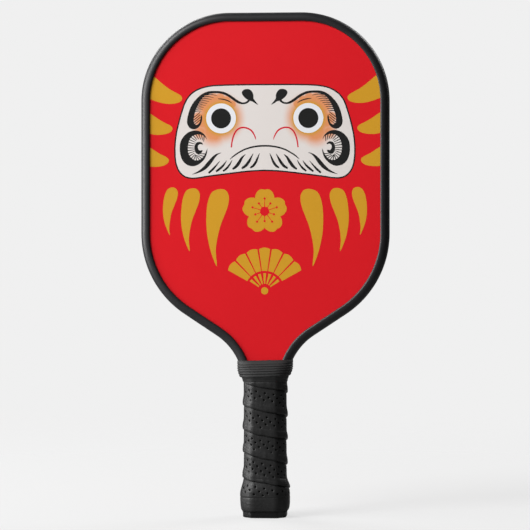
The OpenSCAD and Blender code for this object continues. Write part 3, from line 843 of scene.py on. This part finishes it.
def build_wrap():
    crown = []
    ring = octagon(INSET, seg=17, arc=13, crown=crown)
    pos = [(x + nx * (INSET + 1.8), y + ny * (INSET + 1.8)) for x, y, nx, ny in ring]
    seglen = [math.dist(pos[i], pos[(i + 1) % len(pos)]) for i in range(len(pos))]
    per = sum(seglen)
    s_at = np.concatenate([[0], np.cumsum(seglen)])[:-1]
    ns = len(ring)
    # heights over the seam at which the rows lie, denser at the strip's lower edge
    w_rows = [0.0, 0.10, 0.24, 0.42, 0.64, 0.92, 1.28, 1.7]
    while w_rows[-1] < PITCH - 1.5:
        w_rows.append(w_rows[-1] + 0.46)
    w_rows = [w for w in w_rows if w < PITCH - 1.3] + [PITCH - 1.1, PITCH - 0.75, PITCH - 0.45, PITCH - 0.22, PITCH - 0.08]
    nw = len(w_rows)
    left = min(range(ns), key=lambda i: (round(pos[i][0], 3), abs(pos[i][1])))
    s_left = s_at[left]
    z_left = 33.2  # a seam's height on the middle of the left flat
    lo, hi = -2, 6

    def wave(run):
        """The strip's edge wanders a little as it is wound."""
        return 1.25 * noise.noise(Vector((run * 0.045, 2.2, 7.7))) + 0.5 * noise.noise(Vector((run * 0.15, 5.2, 1.7)))

    edge = [(0.0, -0.30), (0.10, 0.12), (0.24, 0.42), (0.42, 0.64), (0.64, 0.80), (0.92, 0.92), (1.7, 1.04), (2.8, 1.02),
            (4.2, 0.86), (5.6, 0.55), (7.2, 0.22), (9.0, 0.05), (PITCH - 4.5, 0.0), (PITCH - 2.2, -0.06), (PITCH - 1.1, -0.20),
            (PITCH - 0.45, -0.42), (PITCH - 0.08, -0.55)]
    ew, eb = [p[0] for p in edge], [p[1] for p in edge]

    def bulge(w, run, z):
        """Offset of the strip's skin at height w over its lower edge."""
        wob = noise.noise(Vector((run * 0.07, w * 0.05, 3.1))) + 0.5 * noise.noise(Vector((run * 0.3, 0.0, 9.7)))
        b = float(np.interp(w, ew, eb))
        if w < 9:
            b *= 1.0 + 0.30 * wob
        # fine creases pressed along the strip's lower part, fading in and out
        for w0, a, seed in ((3.0, 0.20, 1.0), (5.9, 0.24, 2.0), (PITCH - 2.6, 0.10, 3.0)):
            c = w0 + 0.9 * noise.noise(Vector((run * 0.11, seed * 4.1, 0.5)))
            a *= clamp(0.55 + 1.6 * noise.noise(Vector((run * 0.13, seed * 7.3, 8.5))))
            b -= a * math.exp(-((w - c) / 0.38) ** 2)
        return b

    def pores(w, run):
        """Depth of the punched holes: staggered rows, a little irregular."""
        d = 0.0
        for r in range(4):
            wc = 6.4 + 2.8 * r
            if abs(w - wc) > 1.6:
                continue
            pitch_s = 6.9
            off = (r % 2) * pitch_s / 2 + 0.5 * r
            k0 = math.floor((run - off) / pitch_s)
            for k in (k0, k0 + 1):
                jx = 0.5 * noise.noise(Vector((k * 1.7, r * 3.3, 1.1)))
                jw = 0.5 * noise.noise(Vector((k * 2.1, r * 2.3, 5.1)))
                full = 1.0 if r else clamp(0.2 + 2.0 * noise.noise(Vector((k * 3.7, 0.3, 2.9))))
                dist = math.hypot(run - off - k * pitch_s - jx, w - wc - jw)
                if dist < 1.4:
                    d = max(d, full * 0.95 / (1 + math.exp((dist - 0.66) / 0.10)))
        return d

    verts, pore_shade_mask = [], []
    rows = [(t, w) for t in range(lo, hi) for w in range(nw)]
    for t, w in rows:
        ww = w_rows[w]
        for i, (x, y, nx, ny) in enumerate(ring):
            s = s_at[i]
            # the strip falls as it passes the front from left to right
            down = ((s - s_left) % per) / per * PITCH
            run = ((s - s_left) % per) - per * t
            z = z_left + t * PITCH - down + ww + (1 - ww / PITCH) * wave(run) + ww / PITCH * wave(run - per)
            zz = min(max(z, WRAP_Z0 - 0.5), WRAP_Z1 + 2)
            keep = 0.05 + 0.95 * clamp((z - 16.5) / 4.0)  # the first turn lies smooth over the butt
            keep *= 1.0 - 0.75 * clamp((z - 108.6) / 0.8)  # and the last is bound down by the finishing tape
            g = growth(zz) + bulge(ww, run, z) * keep
            hole = pores(ww, run) if 18.0 < z < 109 else 0.0
            # hole depth, kept as the pit attribute: the wrap's material turns it into painted shade inside the holes
            pore_shade_mask.append(hole / 0.95)
            g -= 0.8 * hole
            g += 0.10 * noise.noise(Vector((x * 0.16 + 5, y * 0.16, z * 0.16))) + 0.05 * noise.noise(Vector((x * 0.6, y * 0.6, z * 0.6)))
            g += crown[i] * 0.42 * clamp((z - 10.0) / 20.0)
            if 15.4 < z < 17.4:  # edge of the tapered first turn
                g -= 0.28 * math.exp(-((z - 16.5 - 0.02 * x) / 0.34) ** 2)
            r = INSET + g
            verts.append(((x + nx * r) * MM, (y + ny * r) * MM, z * MM))
    order = [(left + k) % ns for k in range(ns)]
    faces = []
    for ri in range(len(rows) - 1):
        for k in range(ns):
            a, b = order[k], order[(k + 1) % ns]
            if k < ns - 1:
                faces.append((ri * ns + a, ri * ns + b, (ri + 1) * ns + b, (ri + 1) * ns + a))
            elif ri >= nw:
                # the ring doesn't close on itself: its end meets the start of the turn below
                r2 = ri - nw
                faces.append((ri * ns + a, r2 * ns + b, (r2 + 1) * ns + b, (ri + 1) * ns + a))
    me = bpy.data.meshes.new("wrap")
    me.from_pydata(verts, [], faces)
    me.attributes.new("pit", "FLOAT", "POINT").data.foreach_set("value", pore_shade_mask)
    me.update()
    bm = bmesh.new()
    bm.from_mesh(me)
    for z, up in ((WRAP_Z0, False), (WRAP_Z1, True)):
        bmesh.ops.bisect_plane(bm, geom=bm.verts[:] + bm.edges[:] + bm.faces[:], dist=1e-7, plane_co=(0, 0, z * MM),
                               plane_no=(0, 0, 1), clear_outer=up, clear_inner=not up)
    # turn the two cut ends in and close them, so that the wrap is one closed sleeve
    bore = []
    for z in (WRAP_Z0, WRAP_Z1):
        edge_loop = [e for e in bm.edges if e.is_boundary and all(abs(v.co.z - z * MM) < 1e-6 for v in e.verts)]
        # at the butt the bore first follows the flare up to the handle
        for step, dz in ((0.35, 0.0), (1.4, 0.12)) + (((0.0, 8.0), (2.9, 18.0)) if z < 50 else ()):
            res = bmesh.ops.extrude_edge_only(bm, edges=edge_loop)
            for v in [v for v in res["geom"] if isinstance(v, bmesh.types.BMVert)]:
                rr = math.hypot(v.co.x, v.co.y)
                k = 1 - step * MM / rr
                v.co.x, v.co.y = v.co.x * k, v.co.y * k
                v.co.z += (dz if z < 50 else -dz) * MM
            edge_loop = [e for e in res["geom"] if isinstance(e, bmesh.types.BMEdge)]
        bore += edge_loop
    bmesh.ops.bridge_loops(bm, edges=bore)
    bmesh.ops.recalc_face_normals(bm, faces=bm.faces)
    bm.to_mesh(me)
    bm.free()
    ob = bpy.data.objects.new("grip_wrap_wound", me)
    bpy.context.scene.collection.objects.link(ob)
    me.materials.append(m_wrap)
    me.shade_smooth()
    me.set_sharp_from_angle(angle=math.radians(60))
    return ob


wrap = piece(build_wrap(), "wrap", "grip_wrap")

# --- finishing tape: two turns of thin vinyl, a little skewed


def build_tape():
    crown = []
    ring = octagon(4.4, seg=9, arc=12, crown=crown)
    prof = [(0.06, 1.55), (0.0, 2.15), (0.03, 2.40), (0.08, 2.52), (0.25, 2.68), (0.42, 2.86), (0.50, 2.95), (0.53, 3.16), (0.60, 3.24),
            (0.78, 3.45), (0.95, 3.70), (1.0, 3.72), (1.0, 1.6), (0.5, 1.4)]
    rows = []
    for q, g in prof:
        row = []
        for (x, y, nx, ny), c in zip(ring, crown):
            low = 109.1 - 0.012 * x + 0.45 * noise.noise(Vector((x * 0.16, y * 0.16, 4.0)))
            high = 114.3 + 0.02 * x
            z = low + (high - low) * q + 0.12 * noise.noise(Vector((x * 0.3, y * 0.3, q * 6.0))) * (0 < q < 1)
            r = 4.4 + g + 0.30 * c + 0.10 * noise.noise(Vector((x * 0.25, y * 0.25, q * 3.0)))
            row.append(((x + nx * r) * MM, (y + ny * r) * MM, z * MM))
        rows.append(row)
    return ring_solid("grip_finishing_tape_band", rows, m_tape, sharp=50)


piece(build_tape(), "finishing_tape", "grip_finishing_tape")

# --- collar: ribbed rubber, drawn down onto the face at its upper edge


def build_collar():
    h = 13.3
    n = 168
    grooves = (0.16, 0.32, 0.47, 0.61, 0.75)
    marks = (0.0,) + grooves

    def ring_at(hx, hy, p, g, z, tilt=0.0, wav=0.0):
        row = []
        for i in range(n):
            a = 2 * math.pi * i / n
            c, d = math.cos(a), math.sin(a)
            x = math.copysign(abs(c) ** (2 / p), c) * hx
            y = math.copysign(abs(d) ** (2 / p), d) * hy
            nx = math.copysign(abs(x / hx) ** (p - 1) / hx, x)
            ny = math.copysign(abs(y / hy) ** (p - 1) / hy, y)
            m = math.hypot(nx, ny)
            w = wav * noise.noise(Vector((x * 0.12, y * 0.12, z * 0.2)))
            row.append(((x + nx / m * g) * MM, (y + ny / m * g) * MM, (z + tilt * x + w) * MM))
        return row

    def size(t):
        """half width and half depth at share t of the height, and how square the ring is"""
        return 20.1 + 2.15 * math.sin(min(t / 0.6, 1.0) * math.pi / 2), 17.0 - 5.7 * t * t, 3.1 + 0.9 * t

    rows = []
    for (hx, hy, g, z) in ((17.4, 14.9, 0.0, 121.0), (17.9, 15.2, 0.0, 113.9)):
        rows.append(ring_at(hx, hy, 3.4, g, z))
    steps = 84
    for i in range(steps + 1):
        t = i / steps
        hx, hy, p = size(t)
        # rounded ribs with narrow grooves between them; the top lip is plain
        g = 0.0
        below = [m for m in marks if m <= t][-1]
        above = [m for m in marks if m > t]
        if above:
            f = (t - below) / (above[0] - below)
            g += 0.20 * (1 - abs(2 * f - 1) ** 3)
        else:
            g += 0.16
        for m in grooves:
            g -= 0.42 * math.exp(-((t - m) / 0.019) ** 2)
        g -= 0.75 * (1 - math.sqrt(max(0.0, 1 - (1 - min(t / 0.05, 1.0)) ** 2)))
        top = max(0.0, (t - 0.94) / 0.06)
        g -= 0.8 * (1 - math.sqrt(max(0.0, 1 - top ** 2)))
        rows.append(ring_at(hx, hy, p, g, 113.3 + h * t, 0.036 - 0.010 * t, 0.25))
    # over the top and down inside
    for hx, hy, z in ((21.0, 8.7, 126.5), (19.6, 7.5, 126.1), (18.4, 7.3, 121.5)):
        rows.append(ring_at(hx, hy, 4.2, 0.0, z, 0.026))
    return ring_solid("grip_collar_rubber", rows, m_collar, sharp=50)


piece(build_collar(), "collar", "grip_collar")

# --- butt cap: flared cup under the wrap, bare base with rounded edges


def build_cap():
    ring = octagon(3.0, seg=5, arc=8)
    rows = []

    def scaled(hx, hy, z, r=3.0):
        return [((x + nx * r) * hx / HX * MM, (y + ny * r) * hy / HY * MM, z * MM) for x, y, nx, ny in ring]

    # underside: seat for the badge, flat ring, rounded edge, side wall, step in, cup wall, open mouth, inside
    rows.append(scaled(11.6, 9.0, 1.2))
    rows.append(scaled(11.6, 9.0, 0.25))
    rows.append(scaled(11.9, 9.3, 0.02))
    rows.append(scaled(13.4, 11.2, 0.0))
    for k in range(7):
        a = math.pi / 2 * k / 6
        rows.append(scaled(16.4 + 1.1 * math.sin(a), 13.95 + 1.1 * math.sin(a), 1.1 - 1.1 * math.cos(a)))
    for hx, hy, z in ((17.55, 15.10, 4.3), (17.75, 15.30, 4.45), (18.0, 15.55, 4.75), (18.0, 15.55, 4.98), (17.8, 15.35, 5.12)):
        rows.append(scaled(hx, hy, z))
    for z, g in ((5.2, 0.5), (6.7, 1.7), (11.5, 2.6), (21.2, 2.6), (26, 1.1), (30.9, 0.0)):
        rows.append([((x + nx * (3.0 + g)) * MM, (y + ny * (3.0 + g)) * MM, z * MM) for x, y, nx, ny in ring])
    rows.append([((x + nx * 2.05) * MM, (y + ny * 2.05) * MM, 30.9 * MM) for x, y, nx, ny in ring])
    rows.append([((x + nx * 2.05) * MM, (y + ny * 2.05) * MM, 6.1 * MM) for x, y, nx, ny in ring])
    return ring_solid("butt_cap_moulding", rows, m_cap, sharp=50, closed_ends=True)


piece(build_cap(), "butt_plastic", "butt_cap")

# ------------------------------------------- CAD nodes that keep their shape

finish = {
    "honeycomb_core": m_core, "front_bond_film": m_bond, "back_bond_film": m_bond,
    "front_face_sheet": m_composite, "back_face_sheet": m_composite,
    "front_graphic_film": m_red, "back_graphic_film": m_red,
    "edge_guard_tape": m_mtape, "handle_pallet_front": m_foam, "handle_pallet_back": m_foam,
    "butt_cap_insert": m_badge, "butt_cap_staples": m_wire, "grip_start_staple": m_wire,
    "grip_underlay": m_felt,
}
for name, material in finish.items():
    ob = nodes[name]
    if not ob.material_slots:
        ob.data.materials.append(material)
    for s in ob.material_slots:
        s.material = material

# -------------------------------------------------------- floor and lights


def floor():
    n, rings = 96, [0.0, 0.25, 0.6, 1.2, 2.4]
    verts, faces = [(0, 0, 0)], []
    for r in rings[1:]:
        verts += [(r * math.cos(2 * math.pi * i / n), r * math.sin(2 * math.pi * i / n), 0) for i in range(n)]
    for i in range(n):
        faces.append((0, 1 + i, 1 + (i + 1) % n))
    for k in range(len(rings) - 2):
        a, b = 1 + k * n, 1 + (k + 1) * n
        for i in range(n):
            faces.append((a + i, b + i, b + (i + 1) % n, a + (i + 1) % n))
    m = bpy.data.materials.new("floor_pale")
    m.use_nodes = True
    t = m.node_tree
    t.nodes.clear()
    out = t.nodes.new("ShaderNodeOutputMaterial")
    co = t.nodes.new("ShaderNodeTexCoord")
    length = t.nodes.new("ShaderNodeVectorMath")
    length.operation = "LENGTH"
    fade = t.nodes.new("ShaderNodeMapRange")
    fade.interpolation_type = "SMOOTHSTEP"
    for k, v in (("From Min", 0.25), ("From Max", 1.3), ("To Min", 0.0), ("To Max", 1.0)):
        fade.inputs[k].default_value = v
    dif = t.nodes.new("ShaderNodeBsdfDiffuse")
    dif.inputs["Color"].default_value = (0.15, 0.15, 0.15, 1)
    glow = t.nodes.new("ShaderNodeEmission")
    glow.inputs["Color"].default_value = (1, 1, 1, 1)
    seen = t.nodes.new("ShaderNodeLightPath")
    level = t.nodes.new("ShaderNodeMath")
    level.operation = "MULTIPLY_ADD"
    level.inputs[1].default_value = 0.575
    level.inputs[2].default_value = 0.06
    t.links.new(seen.outputs["Is Camera Ray"], level.inputs[0])
    t.links.new(level.outputs[0], glow.inputs["Strength"])
    both = t.nodes.new("ShaderNodeAddShader")
    clear = t.nodes.new("ShaderNodeBsdfTransparent")
    mix = t.nodes.new("ShaderNodeMixShader")
    t.links.new(co.outputs["Object"], length.inputs[0])
    t.links.new(length.outputs["Value"], fade.inputs["Value"])
    t.links.new(dif.outputs[0], both.inputs[0])
    t.links.new(glow.outputs[0], both.inputs[1])
    t.links.new(fade.outputs[0], mix.inputs[0])
    t.links.new(both.outputs[0], mix.inputs[1])
    t.links.new(clear.outputs[0], mix.inputs[2])
    t.links.new(mix.outputs[0], out.inputs[0])
    ob = add_mesh("studio_floor", verts, faces, m, smooth=False)


floor()

world = bpy.data.worlds.new("studio")
bpy.context.scene.world = world
world.use_nodes = True
wt = world.node_tree
wt.nodes.clear()
w_out = wt.nodes.new("ShaderNodeOutputWorld")
w_seen = wt.nodes.new("ShaderNodeBackground")
w_seen.inputs["Color"].default_value = (0.871, 0.871, 0.871, 1)
w_light = wt.nodes.new("ShaderNodeBackground")
w_light.inputs["Color"].default_value = (1, 1, 1, 1)
w_light.inputs["Strength"].default_value = 0.045
w_path = wt.nodes.new("ShaderNodeLightPath")
w_mix = wt.nodes.new("ShaderNodeMixShader")
wt.links.new(w_path.outputs["Is Camera Ray"], w_mix.inputs[0])
wt.links.new(w_light.outputs[0], w_mix.inputs[1])
wt.links.new(w_seen.outputs[0], w_mix.inputs[2])
wt.links.new(w_mix.outputs[0], w_out.inputs[0])


def area(name, at, aim, size, energy, spread=180):
    d = bpy.data.lights.new(name, "AREA")
    d.shape = "RECTANGLE"
    d.size, d.size_y = size
    d.energy = energy
    d.spread = math.radians(spread)
    ob = bpy.data.objects.new(name, d)
    bpy.context.scene.collection.objects.link(ob)
    ob.location = at
    ob.rotation_euler = (Vector(aim) - Vector(at)).to_track_quat("-Z", "Y").to_euler()
    return ob


MID = (0.0, 0.0, 0.21)
area("key", (-2.25, -0.60, 0.50), MID, (1.3, 1.3), 66)
area("front_fill", (-1.55, -1.35, 1.75), MID, (1.1, 1.1), 72)
area("back_key", (-1.25, 1.55, 1.85), MID, (1.4, 1.2), 48)
area("back_right", (1.45, 1.35, 1.75), MID, (1.2, 1.2), 32)

# ------------------------------------------------------------------ camera

cam_data = bpy.data.cameras.new("camera")
cam_data.sensor_width = 36.0
cam_data.lens = 150.0
cam_data.clip_start, cam_data.clip_end = 0.05, 50.0
cam_data.dof.use_dof = False
cam = bpy.data.objects.new("camera", cam_data)
bpy.context.scene.collection.objects.link(cam)
reach = 0.42665 * cam_data.lens / 36.0
turn = math.radians(4.0)
back, off = 0.00712 + reach, -0.0002
cam.location = (back * math.sin(turn) + off * math.cos(turn), -back * math.cos(turn) + off * math.sin(turn), 0.2031)
cam.rotation_euler = (math.pi / 2, 0, turn)
bpy.context.scene.camera = cam

bpy.context.scene.view_settings.view_transform = "Standard"
bpy.context.scene.view_settings.look = "None"
